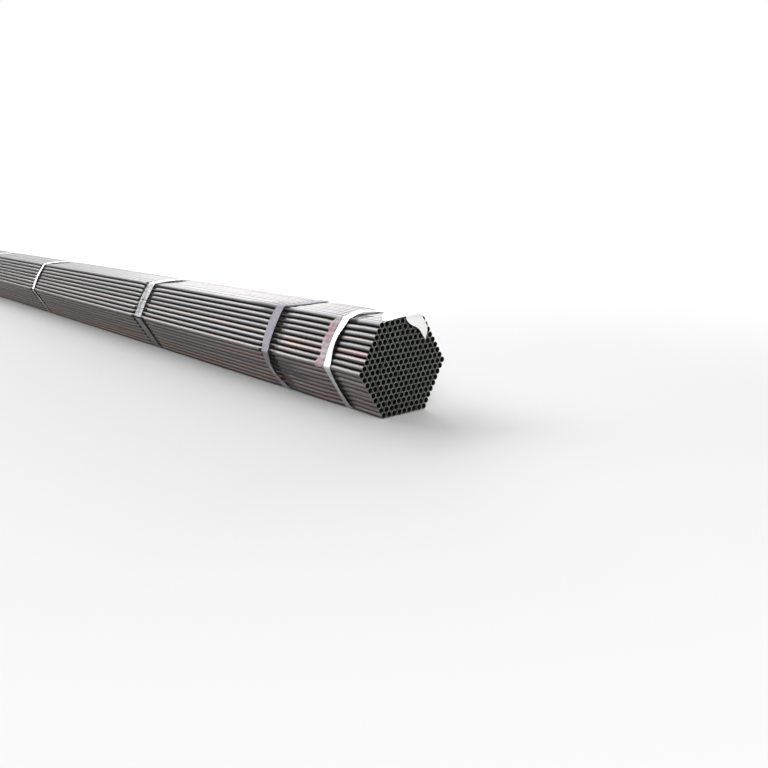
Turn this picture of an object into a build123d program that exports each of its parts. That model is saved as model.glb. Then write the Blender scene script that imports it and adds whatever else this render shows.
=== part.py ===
"""Hexagonal bundle of round steel pipes, strapped for storage and lifting.

The pipes lie along X, with the labelled end at +X. The bundle lies on the undersides of its
bands, with +Z up and the origin on that level, below the middle of its length. Millimetres.
"""

from build123d import *

import math
import os

# The pipe: 19 x 1.5 mm tube in its 6 m stock length
pipe_od = 19.0
pipe_wall = 1.5
pipe_length = 6000.0

# The stack: a hexagon of rows, with a hair of air between pipes
pipes_per_side = 9
pipe_gap = 0.2

# Pipes are drawn with flats, whose corners stand out by these shares of the pipe's radius.
# Inner pipes meet corner to corner. Those at the corners of the rings named here have round bores
outer_flats_count = 8
outer_corner_ratio = 1.026
inner_flats_count = 6
inner_corner_ratio = 1.0
round_bore_flats_count = 12
round_bore_rings = (3, 5)

# The bundle's sides: the turn from one to the next, and the outward normals of two of them,
# as angles from +Y towards +Z
side_turn = 60.0
lap_side = 30.0
label_side = 150.0

# Steel strapping, with its crimped seals
strap_width = 32.0
strap_thickness = 0.9
strap_lap = 76.0
seal_length = 44.0
seal_thickness = 0.8
seal_clearance = 0.2
crimp_depth = 2.4
crimp_width = 7.0
crimp_spacing = 22.0
pair_seal_gap = 16.0

# Woven lifting bands, closed by a sewn lap
sling_width = 45.0
sling_thickness = 2.4
sling_lap = 150.0

# Between a band and the crowns of the pipes it goes round
band_clearance = 0.6

# Places of the bands, as distances from the nearer end of the bundle
end_strap_setback = 166.0
sling_setback = 518.0
pair_setback = 1607.0
pair_gap = 1.0
middle_strap_setback = 3147.0

# Paper label that the first strap holds down on the upper left side
label_thickness = 0.15
label_seat = 0.3
label_tucked = 12.0
label_proud = 47.0
label_corner_in = 17.0
label_corner_down = 30.0

# White tag that the first strap holds down on top. It widens to the left towards the pipe ends,
# and the rest of its width hangs over them in a curved tip
tag_thickness = 0.3
tag_seat = 0.15
tag_tucked = 24.0
tag_held_width = 30.0
tag_spread = 66.0
tag_left = 9.0
tag_width = 64.0
tag_stand_off = 4.0
tag_drop = 68.0
tag_tip_offset = 74.0
tag_inner_bow = 7.0
tag_outer_bow = 13.0

# Values that follow from the ones above
pitch = pipe_od + pipe_gap
row_rise = pitch * math.sin(math.radians(side_turn))
reach = pipes_per_side - 1
corner_radius = reach * pitch
apothem = corner_radius * math.cos(math.radians(side_turn / 2))
band_inner = pipe_od / 2 + band_clearance
lowest_row = row_rise * reach
bundle_middle = lowest_row + band_inner + max(strap_thickness, sling_thickness)
near_end = pipe_length / 2

os.makedirs("parts", exist_ok=True)


def save(part, node):
    """Write one finished piece to its STEP file."""
    part.label = node
    export_step(part, f"parts/{node}.step")


def band_plane(x):
    """The plane across the bundle at x, centred on the middle pipe."""
    return Plane(origin=(x, 0, bundle_middle), x_dir=(0, 1, 0), z_dir=(1, 0, 0))


def side_plane(x, angle):
    """The plane on a side's pipe centres: its X runs along the pipes and its Z points outward.

    The angle is that of the side's outward normal, from +Y towards +Z.
    """
    turn = math.radians(angle)
    outward = (0, math.cos(turn), math.sin(turn))
    origin = (x, outward[1] * apothem, bundle_middle + outward[2] * apothem)
    return Plane(origin=origin, x_dir=(1, 0, 0), z_dir=outward)


def row_pipes(row):
    """The pipes of a row, as (y, z, in the outer ring, with a round bore). Row 0 is the middle one."""
    first = -reach - min(row, 0)
    last = reach - max(row, 0)
    for column in range(first, last + 1):
        steps = (column, row, column + row)
        ring = max(abs(step) for step in steps)
        round_bore = ring in round_bore_rings and 0 in steps
        yield (column + row / 2) * pitch, row * row_rise, ring == reach, round_bore


def flat_pipe(flats_count, corner_ratio, first_corner):
    """Section of a pipe with flats and with as much steel as the real one."""
    steel = math.pi * (pipe_od - pipe_wall) * pipe_wall
    area_factor = flats_count / 2 * math.sin(2 * math.pi / flats_count)
    circumradius = pipe_od / 2 * corner_ratio
    bore_circumradius = math.sqrt(circumradius**2 - steel / area_factor)
    RegularPolygon(circumradius, flats_count, rotation=first_corner)
    RegularPolygon(bore_circumradius, flats_count, rotation=first_corner, mode=Mode.SUBTRACT)


def round_bore_pipe():
    """Section of a pipe with its bore round and flats outside."""
    first_corner = 180 / round_bore_flats_count
    circumradius = pipe_od / 2 * outer_corner_ratio
    RegularPolygon(circumradius, round_bore_flats_count, rotation=first_corner)
    Circle(pipe_od / 2 - pipe_wall, mode=Mode.SUBTRACT)


# Pipes, row by row from the bottom
for row in range(-reach, reach + 1):
    with BuildPart() as pipe_row:
        with BuildSketch(band_plane(-pipe_length / 2)):
            for y, z, in_outer_ring, round_bore in row_pipes(row):
                with Locations((y, z)):
                    if round_bore:
                        round_bore_pipe()
                    elif in_outer_ring:
                        flat_pipe(outer_flats_count, outer_corner_ratio, 180 / outer_flats_count)
                    else:
                        flat_pipe(inner_flats_count, inner_corner_ratio, 0)
        extrude(amount=pipe_length)
    save(pipe_row.part, f"pipe_row_{row + reach + 1:02d}")


def band_outline(distance):
    """A hexagon round the corner pipes' centres, pushed out by a distance, with cut corners."""
    half_turn = math.radians(side_turn / 2)
    with BuildSketch() as outline:
        sides = RegularPolygon(apothem + distance, 6, major_radius=False)
        corner_cut = distance * (1 / math.cos(half_turn) - 1)
        chamfer(sides.vertices(), corner_cut / math.sin(half_turn))
    return outline.sketch


def make_band(centre, width, thickness, lap, shift, node):
    """One band round the bundle, with its lapped end on the upper right side.

    The shift moves the lap up that side.
    """
    with BuildPart() as band:
        with BuildSketch(band_plane(centre - width / 2)):
            add(band_outline(band_inner + thickness))
            add(band_outline(band_inner), mode=Mode.SUBTRACT)
        extrude(amount=width)
        with BuildSketch(side_plane(centre, lap_side).offset(band_inner + thickness)):
            with Locations((0, shift)):
                Rectangle(width, lap)
        extrude(amount=thickness)
    save(band.part, node)


def make_seal(centre, shift, node):
    """A crimped seal that clasps both layers of a strap's lap from outside."""
    stack = 2 * strap_thickness
    inside = strap_width + 2 * seal_clearance
    outside = inside + 2 * seal_thickness
    seat = side_plane(centre, lap_side).offset(band_inner)
    with BuildPart() as seal:
        with BuildSketch(seat):
            with Locations((0, shift)):
                Rectangle(outside, seal_length)
        extrude(amount=stack + seal_clearance + seal_thickness)
        with BuildSketch(seat):
            with Locations((0, shift)):
                Rectangle(inside, seal_length)
        extrude(amount=stack + seal_clearance, mode=Mode.SUBTRACT)
        with BuildSketch(seat):
            with Locations((0, shift)):
                with GridLocations(outside, crimp_spacing, 2, 2):
                    Rectangle(crimp_depth, crimp_width)
        extrude(amount=stack + seal_clearance + seal_thickness, mode=Mode.SUBTRACT)
    save(seal.part, node)


# Bands, from the labelled end to the far one; the far half repeats the near half
pair_offset = (strap_width + pair_gap) / 2
pair_seal_shift = (seal_length + pair_seal_gap) / 2
straps = {
    "near_end": (near_end - end_strap_setback, 0),
    "near_pair_outer": (near_end - pair_setback + pair_offset, pair_seal_shift),
    "near_pair_inner": (near_end - pair_setback - pair_offset, -pair_seal_shift),
    "middle": (near_end - middle_strap_setback, 0),
    "far_pair_inner": (pair_setback + pair_offset - near_end, pair_seal_shift),
    "far_pair_outer": (pair_setback - pair_offset - near_end, -pair_seal_shift),
    "far_end": (end_strap_setback - near_end, 0),
}
slings = {
    "near": near_end - sling_setback,
    "far": sling_setback - near_end,
}

for place, (centre, shift) in straps.items():
    make_band(centre, strap_width, strap_thickness, strap_lap, shift, f"strap_{place}")
    make_seal(centre, shift, f"seal_{place}")

for place, centre in slings.items():
    make_band(centre, sling_width, sling_thickness, sling_lap, 0, f"lifting_band_{place}")

first_strap = near_end - end_strap_setback

# Label, flat on the upper left side and partly under the first strap, with its upper corner cut
label_edge = first_strap - strap_width / 2
label_plane = side_plane(label_edge, label_side).offset(pipe_od / 2 + label_seat)
half_side = corner_radius / 2
with BuildPart() as label:
    with BuildSketch(label_plane):
        with BuildLine():
            Polyline(
                (label_tucked, -half_side),
                (label_tucked, half_side),
                (label_corner_in - label_proud, half_side),
                (-label_proud, half_side - label_corner_down),
                (-label_proud, -half_side),
                close=True,
            )
        make_face()
    extrude(amount=label_thickness)
save(label.part, "label")

# Tag, flat on the top pipes from under the first strap to the pipe ends, and then hanging
tag_right = tag_left + tag_width
tag_bottom = bundle_middle + lowest_row + pipe_od / 2 + tag_seat
tag_start = first_strap + strap_width / 2 - tag_tucked
tag_front = near_end + tag_stand_off
hanging_plane = Plane(
    origin=(tag_front, tag_left, tag_bottom - tag_stand_off),
    x_dir=(0, 1, 0),
    z_dir=(1, 0, 0),
)
with BuildPart() as tag:
    with BuildSketch(Plane.XY.offset(tag_bottom)):
        with BuildLine():
            Polyline(
                (tag_start, tag_right),
                (tag_start, tag_right - tag_held_width),
                (near_end, -tag_spread),
                (near_end, tag_right),
                close=True,
            )
        make_face()
    extrude(amount=tag_thickness)
    with BuildSketch(Plane.XZ.offset(-tag_right)):
        with BuildLine():
            RadiusArc((near_end, tag_bottom), (tag_front, tag_bottom - tag_stand_off), tag_stand_off)
            offset(amount=tag_thickness, side=Side.LEFT)
        make_face()
    extrude(amount=tag_width)
    with BuildSketch(hanging_plane):
        with BuildLine():
            tip = (tag_tip_offset, tag_stand_off - tag_drop)
            Line((0, 0), (tag_width, 0))
            SagittaArc((tag_width, 0), tip, tag_outer_bow)
            SagittaArc(tip, (0, 0), -tag_inner_bow)
        make_face()
    extrude(amount=tag_thickness)
save(tag.part, "tag")
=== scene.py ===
"""Looks of a strapped, hexagonal bundle of round steel pipes.

Lengths are metres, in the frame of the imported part: X along the pipes with the labelled end
at +X, Y across the bundle, Z up, and the floor at zero.
"""

from __future__ import annotations

import logging
import math
import random
from collections.abc import Callable, Iterable, Sequence
from dataclasses import dataclass, field
from enum import Enum

import bpy
import numpy as np
from mathutils import Matrix, Vector

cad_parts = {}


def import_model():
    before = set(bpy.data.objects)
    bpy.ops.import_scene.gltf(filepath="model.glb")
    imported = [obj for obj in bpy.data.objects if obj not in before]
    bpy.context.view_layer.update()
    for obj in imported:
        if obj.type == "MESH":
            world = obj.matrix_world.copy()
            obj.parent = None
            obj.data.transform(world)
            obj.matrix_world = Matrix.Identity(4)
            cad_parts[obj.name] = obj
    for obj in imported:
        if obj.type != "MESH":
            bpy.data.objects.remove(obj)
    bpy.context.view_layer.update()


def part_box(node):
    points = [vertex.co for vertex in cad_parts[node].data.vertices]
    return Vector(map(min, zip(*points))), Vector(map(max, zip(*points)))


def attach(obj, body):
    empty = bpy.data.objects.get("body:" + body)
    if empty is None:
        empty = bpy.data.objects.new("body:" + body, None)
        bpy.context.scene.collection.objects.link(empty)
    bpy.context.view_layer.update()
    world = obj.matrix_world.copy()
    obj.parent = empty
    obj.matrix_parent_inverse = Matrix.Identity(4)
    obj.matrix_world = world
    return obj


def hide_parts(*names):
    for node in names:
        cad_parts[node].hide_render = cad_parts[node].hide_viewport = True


log = logging.getLogger("bundle")

MM = 0.001
HEX_TURN = math.radians(60)
SHARP_ANGLE = math.radians(38)
PHOTO_WIDTH = 768

Array = np.ndarray
Colour = tuple[float, float, float]
Knots = tuple[tuple[float, ...], ...]
Material = bpy.types.Material
Piece = bpy.types.Object

WHITE: Colour = (1.0, 1.0, 1.0)


class Side(Enum):
    """The sides of the hexagon, by the angle of the outward normal from +Y towards +Z."""

    UPPER_RIGHT = 30
    TOP = 90
    UPPER_LEFT = 150
    LOWER_LEFT = 210
    BOTTOM = 270
    LOWER_RIGHT = 330


class PipeSkin(Enum):
    """The three kinds of surface on a pipe, in the order of its material slots."""

    OUTSIDE = 0
    CUT_END = 1
    BORE = 2


# Meshes


@dataclass
class MeshParts:
    """Vertices, faces and what goes with them, gathered before one mesh is made."""

    vertices: list[Array] = field(default_factory=list)
    faces: list[Array] = field(default_factory=list)
    slots: list[Array] = field(default_factory=list)
    uvs: list[Array] = field(default_factory=list)
    traits: dict[str, list[Array]] = field(default_factory=dict)
    count: int = 0

    def add(
        self,
        vertices: Array,
        quads: Array,
        slots: Array | int = 0,
        uvs: Array | None = None,
        **traits: float | Array,
    ) -> None:
        """Add one shape.

        Args:
            vertices: its points, one row each.
            quads: its four-cornered faces, as indices into those points.
            slots: the material slot of each face, or one for all.
            uvs: two numbers for each corner of each face.
            **traits: numbers for each point, or one for all, kept as mesh attributes.
        """
        self.vertices.append(vertices)
        self.faces.append(quads + self.count)
        self.slots.append(np.broadcast_to(slots, len(quads)))
        self.uvs.append(np.zeros((len(quads) * 4, 2)) if uvs is None else uvs.reshape(-1, 2))
        for name, value in traits.items():
            self.traits.setdefault(name, []).append(np.broadcast_to(value, len(vertices)))
        self.count += len(vertices)

    def add_sheet(self, points: Array, u: Array, v: Array) -> None:
        """Add an open grid of points, with u along its rows and v from row to row."""
        self.add(points.reshape(-1, 3), grid_quads(*points.shape[:2]), 0, grid_uvs(u, v))

    def build(self, name: str, materials: Sequence[Material], sheet: float = 0.0) -> Piece:
        """Make the object, smooth but for its sharp edges.

        Args:
            name: its name.
            materials: its material slots, in order.
            sheet: the thickness that a bare surface is given, half to each side.

        Returns:
            The new object, linked into the scene.
        """
        quads = np.concatenate(self.faces).astype(np.int32)
        mesh = bpy.data.meshes.new(name)
        mesh.vertices.add(self.count)
        mesh.vertices.foreach_set("co", np.concatenate(self.vertices).astype(np.float32).ravel())
        mesh.loops.add(quads.size)
        mesh.loops.foreach_set("vertex_index", quads.ravel())
        mesh.polygons.add(len(quads))
        mesh.polygons.foreach_set("loop_start", np.arange(0, quads.size, 4, dtype=np.int32))
        mesh.polygons.foreach_set("material_index", np.concatenate(self.slots).astype(np.int32))
        mesh.update(calc_edges=True)
        layer = mesh.uv_layers.new(name="surface")
        layer.data.foreach_set("uv", np.concatenate(self.uvs).astype(np.float32).ravel())
        for trait, values in self.traits.items():
            attribute = mesh.attributes.new(trait, "FLOAT", "POINT")
            attribute.data.foreach_set("value", np.concatenate(values).astype(np.float32))
        for material in materials:
            mesh.materials.append(material)
        mesh.validate()
        piece = bpy.data.objects.new(name, mesh)
        bpy.context.scene.collection.objects.link(piece)
        if sheet:
            thick = piece.modifiers.new("sheet", "SOLIDIFY")
            thick.thickness = sheet
            thick.offset = 0
            shown = piece.evaluated_get(bpy.context.evaluated_depsgraph_get())
            mesh = bpy.data.meshes.new_from_object(shown)
            piece.modifiers.clear()
            piece.data = mesh
        mesh.shade_smooth()
        mesh.set_sharp_from_angle(angle=SHARP_ANGLE)
        return piece


def grid_quads(rows: int, columns: int, closed_rows: bool = False, closed_columns: bool = False) -> Array:
    """Quads of a grid of points that is stored row by row.

    Args:
        rows: the number of rows.
        columns: the number of points in a row.
        closed_rows: whether the last row joins the first.
        closed_columns: whether each row closes on itself.

    Returns:
        One row of four indices for each quad.
    """
    row = np.arange(rows if closed_rows else rows - 1)[:, None]
    column = np.arange(columns if closed_columns else columns - 1)
    next_row, next_column = (row + 1) % rows, (column + 1) % columns
    corners = ((row, column), (row, next_column), (next_row, next_column), (next_row, column))
    return np.stack([a * columns + b for a, b in corners], axis=-1).reshape(-1, 4)


def grid_uvs(u: Array, v: Array) -> Array:
    """Corner coordinates for the quads of a grid, from the values at its column and row lines."""
    lines = np.stack(np.broadcast_arrays(u[None, :], v[:, None]), axis=-1)
    corners = (lines[:-1, :-1], lines[:-1, 1:], lines[1:, 1:], lines[1:, :-1])
    return np.stack(corners, axis=2).reshape(-1, 4, 2)


def eased(value: Array | float) -> Array | float:
    """A smooth step from 0 to 1 for values from 0 to 1."""
    held = np.clip(value, 0.0, 1.0)
    return held * held * (3 - 2 * held)


def unit(angle: Array | float) -> Array:
    """Unit vectors in (y, z), by their angle from +Y towards +Z."""
    return np.stack([np.cos(angle), np.sin(angle)], axis=-1)


def smooth_track(knots: Knots, shares: Array) -> Array:
    """Points on a smooth curve through knots.

    Args:
        knots: each one's place along, and then its values.
        shares: the places where the curve is wanted.

    Returns:
        One row of values for each share.
    """
    table = np.array(knots)
    places, values = table[:, 0], table[:, 1:]
    slopes = np.gradient(values, places, axis=0)
    index = np.clip(np.searchsorted(places, shares, side="right") - 1, 0, len(places) - 2)
    span = (places[index + 1] - places[index])[:, None]
    t = (shares - places[index])[:, None] / span
    settled = (2 * t**3 - 3 * t**2 + 1) * values[index] + (3 * t**2 - 2 * t**3) * values[index + 1]
    leaving = (t**3 - 2 * t**2 + t) * slopes[index] * span
    return settled + leaving + (t**3 - t**2) * slopes[index + 1] * span


# Shader nodes


@dataclass(frozen=True)
class Value:
    """What a socket puts out. Each arithmetic step on it adds a node."""

    graph: Graph
    socket: bpy.types.NodeSocket

    def step(self, operation: str, *others: Feed) -> Value:
        """One arithmetic step on this and others, as vectors if this is one."""
        kind = "VectorMath" if self.socket.type == "VECTOR" else "Math"
        return self.graph.value(kind, dict(enumerate((self, *others))), operation=operation)

    def __add__(self, other: Feed) -> Value:
        """This and another."""
        return self.step("ADD", other)

    def __sub__(self, other: Feed) -> Value:
        """This less another."""
        return self.step("SUBTRACT", other)

    def __rsub__(self, other: float) -> Value:
        """A number less this."""
        return self.graph.value("Math", {0: other, 1: self}, operation="SUBTRACT")

    def __mul__(self, other: Feed) -> Value:
        """This times another."""
        return self.step("MULTIPLY", other)

    def axis(self, index: int) -> Value:
        """One number of a vector."""
        return self.graph.value("SeparateXYZ", {0: self}, index)

    def length(self) -> Value:
        """A vector's length."""
        return self.graph.value("VectorMath", {0: self}, "Value", operation="LENGTH")

    def remap(self, low: float, high: float, to_low: float = 0.0, to_high: float = 1.0) -> Value:
        """A smooth, clamped change of range."""
        inputs = {"Value": self, "From Min": low, "From Max": high, "To Min": to_low, "To Max": to_high}
        return self.graph.value("MapRange", inputs, interpolation_type="SMOOTHSTEP")


Feed = float | Sequence[float] | Value


@dataclass(frozen=True)
class Graph:
    """A short way to lay out the nodes of one tree."""

    tree: bpy.types.NodeTree

    def node(self, kind: str, inputs: dict | None = None, **settings: object) -> bpy.types.Node:
        """Add a node.

        Args:
            kind: its type, without the leading ShaderNode.
            inputs: what goes into its sockets, by name or place.
            **settings: its own properties.

        Returns:
            The node.
        """
        added = self.tree.nodes.new("ShaderNode" + kind)
        for name, setting in settings.items():
            setattr(added, name, setting)
        for key, fed in (inputs or {}).items():
            socket = added.inputs[key]
            if isinstance(fed, Value):
                self.tree.links.new(fed.socket, socket)
            else:
                socket.default_value = (*fed, 1.0) if socket.type == "RGBA" else fed
        return added

    def value(
        self, kind: str, inputs: dict | None = None, output: str | int = 0, **settings: object
    ) -> Value:
        """Add a node, as above, and take one of its outputs by name or place."""
        return Value(self, self.node(kind, inputs, **settings).outputs[output])

    def combine(self, *numbers: Feed) -> Value:
        """A vector of three numbers."""
        return self.value("CombineXYZ", dict(enumerate(numbers)))

    def attribute(self, name: str) -> Value:
        """A number stored on the mesh."""
        return self.value("Attribute", None, "Fac", attribute_name=name, attribute_type="GEOMETRY")

    def noise(self, place: Value, scale: Feed = 1.0, detail: float = 3.0, roughness: float = 0.55) -> Value:
        """Soft noise from 0 to 1."""
        inputs = {"Vector": place, "Scale": scale, "Detail": detail, "Roughness": roughness}
        return self.value("TexNoise", inputs)

    def layers(self, colour: Feed, *tints: tuple[Feed, Colour]) -> Feed:
        """Lay colours over one another, each by its own share."""
        for share, tint in tints:
            colour = self.value("Mix", {0: share, 6: colour, 7: tint}, 2, data_type="RGBA")
        return colour

    def bump(self, height: Value, distance: float, strength: float = 1.0) -> Value:
        """Normals of a surface with fine relief."""
        return self.value("Bump", {"Height": height, "Distance": distance, "Strength": strength})

    def rays(self, *kinds: str) -> Value:
        """Whether a ray is of one of these kinds."""
        path = self.node("LightPath")
        seen, *others = (Value(self, path.outputs[f"Is {kind} Ray"]) for kind in kinds)
        for other in others:
            seen = seen.step("MAXIMUM", other)
        return seen


def effect(**inputs: str) -> Callable:
    """Make a shared node group of a function that lays out a mask.

    Args:
        **inputs: the kind of each input socket, by its name.

    Returns:
        A decorator. What it returns places the group in a graph, given a value for each input.
    """

    def decorate(lay_out: Callable[..., Value]) -> Callable[..., Value]:
        """Put the shared group in the place of the function that lays it out."""

        def place_group(graph: Graph, *values: Feed) -> Value:
            """Place the group in a graph, after making it at its first use, and take its mask."""
            tree = bpy.data.node_groups.get(lay_out.__name__)
            if tree is None:
                tree = bpy.data.node_groups.new(lay_out.__name__, "ShaderNodeTree")
                for label, kind in inputs.items():
                    tree.interface.new_socket(name=label, in_out="INPUT", socket_type="NodeSocket" + kind)
                tree.interface.new_socket(name="Mask", in_out="OUTPUT", socket_type="NodeSocketFloat")
                source = tree.nodes.new("NodeGroupInput")
                sink = tree.nodes.new("NodeGroupOutput")
                inner = Graph(tree)
                mask = lay_out(inner, *(Value(inner, source.outputs[label]) for label in inputs))
                tree.links.new(mask.socket, sink.inputs["Mask"])
            return graph.value("Group", dict(zip(inputs, values)), node_tree=tree)

        return place_group

    return decorate


@effect(Position="Vector", Seed="Float", Along="Float", Across="Float")
def drawn_streaks(graph: Graph, place: Value, seed: Value, along: Value, across: Value) -> Value:
    """Streaks along X, as drawing and rolling leave on a tube."""
    moved = seed * 37.0
    streaked = place * graph.combine(along, across, across) + graph.combine(moved, moved, 0.0)
    return graph.noise(streaked, 1.0, 5.0, 0.62).remap(0.3, 0.7)


@effect(Position="Vector", Seed="Float", Amount="Float")
def rust_bloom(graph: Graph, place: Value, seed: Value, amount: Value) -> Value:
    """Patches of light rust, long in X, that grow with their amount."""
    moved = seed * 53.0
    patches = graph.noise(place * (2.2, 22.0, 22.0) + graph.combine(moved, 0.0, moved), 1.0, 4.0, 0.6)
    ragged = patches + (graph.noise(place, 420.0, 3.0, 0.7) - 0.5) * 0.3
    return (ragged - (0.86 - amount * 0.6)).remap(-0.05, 0.14)


@effect(Position="Vector", Scale="Float")
def fine_grain(graph: Graph, place: Value, scale: Value) -> Value:
    """Even, fine grain for bumps and small changes of gloss."""
    return graph.noise(place, scale, 4.0, 0.65)


@effect(Position="Vector", Amount="Float")
def settled_dust_and_top_light(graph: Graph, place: Value, amount: Value) -> Value:
    """Dust on what faces up, broken by noise, which also paints those faces lighter as light from above
    would.
    """
    upward = graph.value("NewGeometry", None, "Normal").axis(2)
    return upward.remap(0.35, 1.0) * graph.noise(place, 34.0, 5.0, 0.65).remap(0.3, 0.75) * amount


@effect(Position="Vector", Amount="Float")
def soil_and_underside_shade(graph: Graph, place: Value, amount: Value) -> Value:
    """Darker on what faces down: painted underside shade along with soil, broken by noise that is long in
    X.
    """
    upward = graph.value("NewGeometry", None, "Normal").axis(2)
    broken = graph.noise(place * (5.0, 30.0, 30.0), 1.0, 5.0, 0.65).remap(0.3, 0.62, 0.35, 1.0)
    return upward.remap(-0.05, -0.6) * broken * amount


# Finishes


@dataclass(frozen=True)
class Finish:
    """A finish that is built as one material."""

    name: str = ""

    def inputs(self, graph: Graph, place: Value) -> dict[str, Feed]:
        """Lay out what goes into the surface shader.

        Args:
            graph: the material's graph.
            place: the object's own coordinates.

        Returns:
            What goes into each of its inputs, by name.
        """
        raise NotImplementedError

    def seen(self, graph: Graph, place: Value, surface: Value) -> Value:
        """What the material shows: the surface shader, unless a finish lays more over it."""
        return surface

    def build(self) -> Material:
        """Make the material."""
        material = bpy.data.materials.new(self.name)
        material.use_nodes = True
        material.node_tree.nodes.clear()
        graph = Graph(material.node_tree)
        place = graph.value("TexCoord", None, "Object")
        surface = graph.value("BsdfPrincipled", self.inputs(graph, place))
        graph.node("OutputMaterial", {"Surface": self.seen(graph, place, surface)})
        return material


@dataclass(frozen=True)
class PipeSteelFinish(Finish):
    """Dark annealed tube with an oily sheen, mill streaks, heat tints and a little rust."""

    name: str = "pipe_steel"
    dark: Colour = (0.105, 0.104, 0.103)
    pale: Colour = (0.225, 0.222, 0.224)
    warm: Colour = (0.25, 0.175, 0.145)
    cool: Colour = (0.135, 0.14, 0.165)
    pink: Colour = (0.26, 0.165, 0.165)
    rust: Colour = (0.25, 0.115, 0.055)
    seam: Colour = (0.055, 0.055, 0.075)
    # Black for the painted shade between the pipes, for the painted shadows beside the bands, and for the
    # stains' grime.
    painted_shade_and_grime: Colour = (0.016, 0.014, 0.014)
    dust_and_top_light: Colour = (0.40, 0.385, 0.36)
    soil: Colour = (0.045, 0.036, 0.030)
    edge_tint: Colour = (0.55, 0.55, 0.55)
    metallic: float = 0.88
    seam_half_width: float = 0.035
    bump: float = 0.06 * MM

    def inputs(self, graph: Graph, place: Value) -> dict[str, Feed]:
        """Lay out the nodes. The painted shadows beside the bands and the stains' grime take the sheen away
        with the colour.
        """
        seed = graph.attribute("pipe_seed")
        warmth = graph.attribute("pipe_warmth")
        streaks = drawn_streaks(graph, place, seed, 1.6, 210.0)
        flecks = drawn_streaks(graph, place, seed, 14.0, 900.0)
        grain = fine_grain(graph, place, 900.0)
        blotches = graph.noise(place * (3.0, 26.0, 26.0), 1.0, 4.0)
        around = graph.value("UVMap", uv_map="surface").axis(0)
        off_seam = (around.step("FRACT") - 0.5).step("ABSOLUTE")
        seam = off_seam.remap(self.seam_half_width, self.seam_half_width * 0.4)
        rust = rust_bloom(graph, place, seed, graph.attribute("pipe_rust"))
        # Dust on the tops of the pipes, which is also painted light on what faces up.
        dust_and_top_light = settled_dust_and_top_light(graph, place, 0.12)
        # pipe_grime carries the painted shadows beside and under the bands, and the stains' grime.
        grime = graph.attribute("pipe_grime") * 0.93
        # pipe_pale adds random tone, and on some lower rows near the end painted highlights and painted
        # shade.
        lightness = streaks * 0.55 + flecks * 0.25 + graph.attribute("pipe_pale") * 0.5
        colour = graph.layers(
            self.dark,
            (lightness, self.pale),
            (warmth.remap(0.0, 1.0) * blotches.remap(0.25, 0.65, 0.45, 1.0) * 0.75, self.warm),
            (warmth.remap(0.0, -1.0) * blotches.remap(0.3, 0.7, 0.3, 1.0) * 0.75, self.cool),
            (graph.attribute("pipe_pink") * blotches.remap(0.25, 0.6, 0.55, 1.0) * 0.85, self.pink),
            (seam * 0.6, self.seam),
            (rust * 0.8, self.rust),
            (dust_and_top_light, self.dust_and_top_light),
            # Painted shade on what faces down, with soil.
            (soil_and_underside_shade(graph, place, 0.55), self.soil),
            (grime, self.painted_shade_and_grime),
            # Painted shade deep between the pipes and on the lower flanks of the upper sides.
            (graph.attribute("pipe_painted_shade").remap(0.16, 0.46) * 0.92, self.painted_shade_and_grime),
        )
        free_of_shadow_and_grime = 1.0 - grime
        matt = (rust * 0.9).step("MAXIMUM", dust_and_top_light)
        return {
            "Base Color": colour,
            "Specular Tint": self.edge_tint,
            "Metallic": (1.0 - matt) * self.metallic * free_of_shadow_and_grime,
            "Specular IOR Level": free_of_shadow_and_grime * 0.5,
            "Roughness": streaks * 0.10 + 0.27 + grain * 0.08 + matt * 0.4,
            "Normal": graph.bump(flecks * 0.5 + grain + seam * 0.8, self.bump),
        }


@dataclass(frozen=True)
class CutEndFinish(Finish):
    """Sawn ends of the pipes: dull bare steel with saw marks and a little grime."""

    name: str = "pipe_cut_end"
    bare: Colour = (0.33, 0.35, 0.315)
    grime: Colour = (0.10, 0.11, 0.095)
    rust: Colour = (0.25, 0.13, 0.06)

    def inputs(self, graph: Graph, place: Value) -> dict[str, Feed]:
        """Lay out the nodes."""
        marks = graph.noise(place * (40.0, 160.0, 900.0), 1.0, 4.0)
        blotches = graph.noise(place, 90.0, 4.0, 0.65)
        share = marks.remap(0.3, 0.7, 0.35, 1.0) * blotches.remap(0.3, 0.6, 0.35, 1.0)
        share = share * graph.attribute("pipe_pale").remap(-0.6, 0.6, 0.6, 1.0)
        rust = rust_bloom(graph, place, graph.attribute("pipe_seed"), 0.35)
        return {
            "Base Color": graph.layers(self.grime, (share, self.bare), (rust * 0.6, self.rust)),
            "Metallic": 0.35,
            "Roughness": marks.remap(0.2, 0.8, 0.4, 0.6),
            "Normal": graph.bump(marks, 0.05 * MM),
        }


@dataclass(frozen=True)
class BoreFinish(Finish):
    """Inside of the pipes: black scale with faint streaks."""

    name: str = "pipe_bore"
    scale: Colour = (0.004, 0.004, 0.0045)
    streak: Colour = (0.012, 0.011, 0.010)

    def inputs(self, graph: Graph, place: Value) -> dict[str, Feed]:
        """Lay out the nodes."""
        streaks = drawn_streaks(graph, place, graph.attribute("pipe_seed"), 3.0, 260.0)
        colour = graph.layers(self.scale, (streaks, self.streak))
        return {"Base Color": colour, "Metallic": 0.0, "Roughness": 0.8, "Specular IOR Level": 0.1}


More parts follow.
